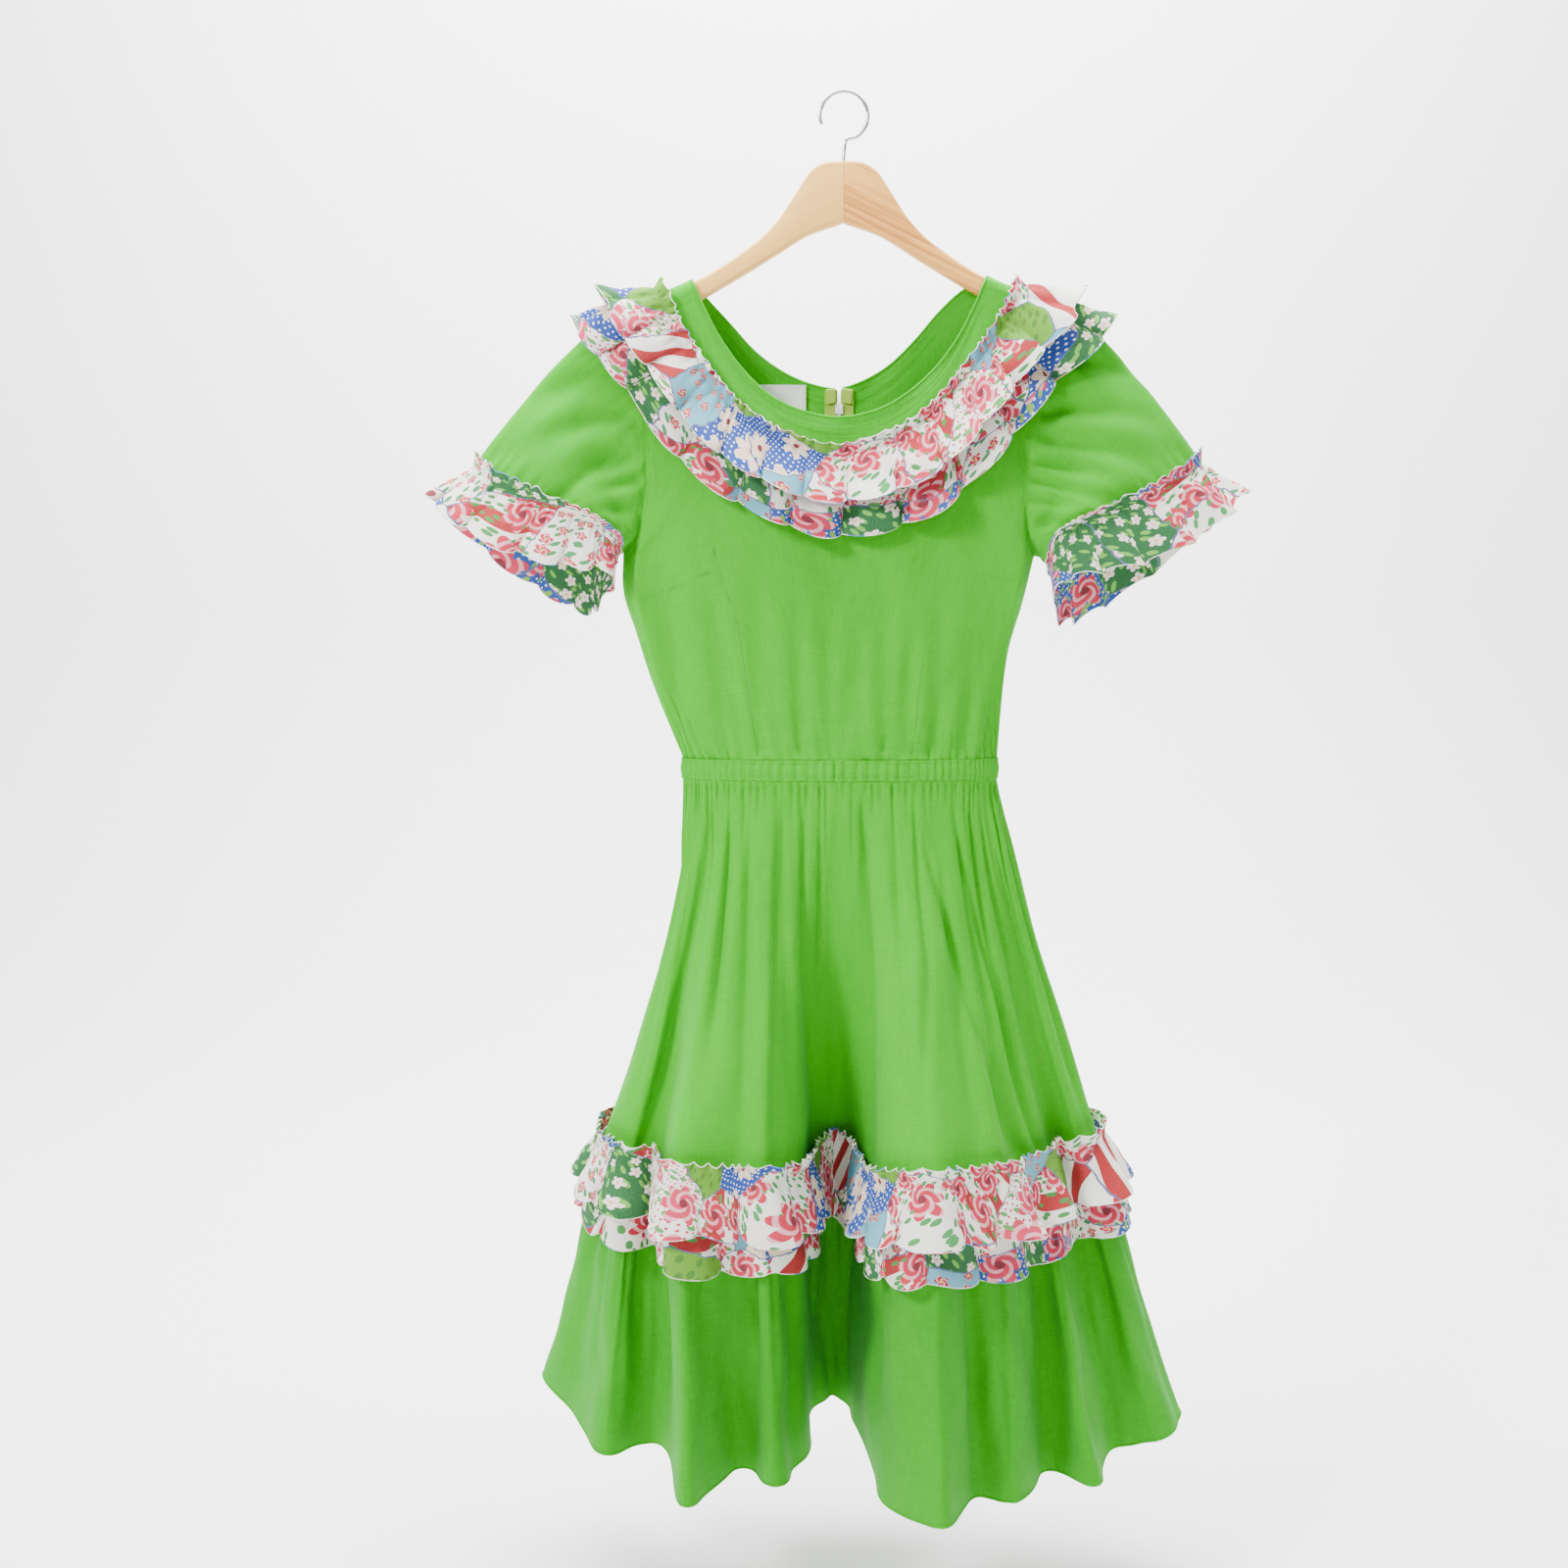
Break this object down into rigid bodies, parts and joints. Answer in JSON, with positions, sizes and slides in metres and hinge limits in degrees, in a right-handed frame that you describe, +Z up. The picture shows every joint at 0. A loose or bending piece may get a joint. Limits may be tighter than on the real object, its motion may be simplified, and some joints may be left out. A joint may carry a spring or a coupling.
{
  "type": "square dance dress on a wooden hanger",
  "caption": "Green cotton square dance dress with gathered waist, flounced skirt and patchwork ruffles, hung on a wooden hanger.",
  "frame": {"origin": "the inside top of the hanger's hook, where a rail holds it", "axes": "+Z up along the hanging dress, -Y out of the dress's front, +X to the right seen from the front"},
  "size_m": [0.7609, 0.3316, 1.2804],
  "materials": {
    "green_cotton": "plain-woven cotton, matt, with soft creases",
    "patchwork_voile": "light printed cotton voile in joined patches, matt",
    "pale_wood": "clear satin lacquer",
    "bright_steel": "plated and smooth",
    "zip_tape": "woven tape",
    "label_satin": "woven satin, blank, with a stitched border"
  },
  "bodies": {
    "garment": {"bodice_front": "green_cotton", "bodice_back_right": "green_cotton", "bodice_back_left": "green_cotton", "waist_casing": "green_cotton", "skirt_front": "green_cotton", "skirt_back_right": "green_cotton", "skirt_back_left": "green_cotton", "flounce_front": "green_cotton", "flounce_back": "green_cotton", "skirt_ruffle_lower": "patchwork_voile", "skirt_ruffle_upper": "patchwork_voile", "sleeve_left": "green_cotton", "sleeve_right": "green_cotton", "sleeve_ruffle_left": "patchwork_voile", "sleeve_ruffle_right": "patchwork_voile", "neck_ruffle_lower": "patchwork_voile", "neck_ruffle_upper": "patchwork_voile", "neck_label": "label_satin", "zip_tape_left": "zip_tape", "zip_tape_right": "zip_tape", "zip_slider": "bright_steel", "hanger_left": "pale_wood", "hanger_right": "pale_wood", "hanger_hook": "bright_steel"},
    "pull_tab": {"zip_pull": "bright_steel"}
  },
  "joints": [
    {"name": "pull_tab_fold", "type": "hinge", "parent": "garment", "child": "pull_tab", "pos_m": [-0.003, 0.0274, -0.277], "axis": [1, 0, 0], "range_deg": [0, 170]}
  ]
}
